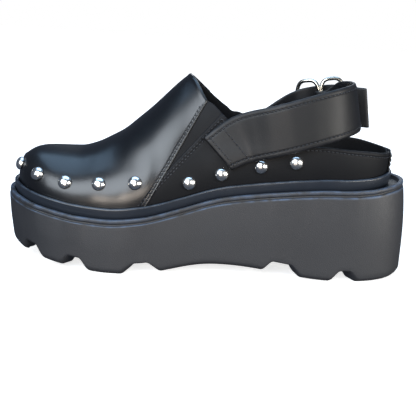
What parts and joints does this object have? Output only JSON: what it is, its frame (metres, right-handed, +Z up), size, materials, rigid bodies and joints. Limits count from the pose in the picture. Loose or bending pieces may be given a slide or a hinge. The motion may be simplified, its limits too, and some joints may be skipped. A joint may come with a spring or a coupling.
{
  "type": "platform clog",
  "caption": "Closed-toe platform clog for the right foot, with a low cupped heel, dome studs above the welt and a buckled strap behind the heel.",
  "frame": {"origin": "on the floor under the middle of the sole", "axes": "+X to the toe, +Y to the inner side of the foot, +Z up"},
  "size_m": [0.2718, 0.111, 0.1287],
  "materials": {
    "sole": "matte fine-grained moulded foam rubber",
    "welt": "semi-gloss",
    "upper_leather": "glossy smooth black leather",
    "strap_leather": "fine-grained black leather",
    "footbed": "matte dark lining",
    "nickel": "polished nickel"
  },
  "bodies": {
    "root": {"outsole": "sole", "welt": "welt", "upper": "upper_leather", "insole": "footbed", "back_strip": "upper_leather", "strap_long": "strap_leather", "strap_short": "strap_leather", "buckle": "nickel", "buckle_prong": "nickel", "stud_inner_1": "nickel", "stud_inner_2": "nickel", "stud_inner_3": "nickel", "stud_inner_4": "nickel", "stud_inner_5": "nickel", "stud_inner_6": "nickel", "stud_inner_7": "nickel", "stud_inner_8": "nickel", "stud_inner_9": "nickel", "stud_outer_1": "nickel", "stud_outer_2": "nickel", "stud_outer_3": "nickel", "stud_outer_4": "nickel", "stud_outer_5": "nickel", "stud_outer_6": "nickel", "stud_outer_7": "nickel", "stud_outer_8": "nickel", "stud_outer_9": "nickel"}
  },
  "joints": []
}
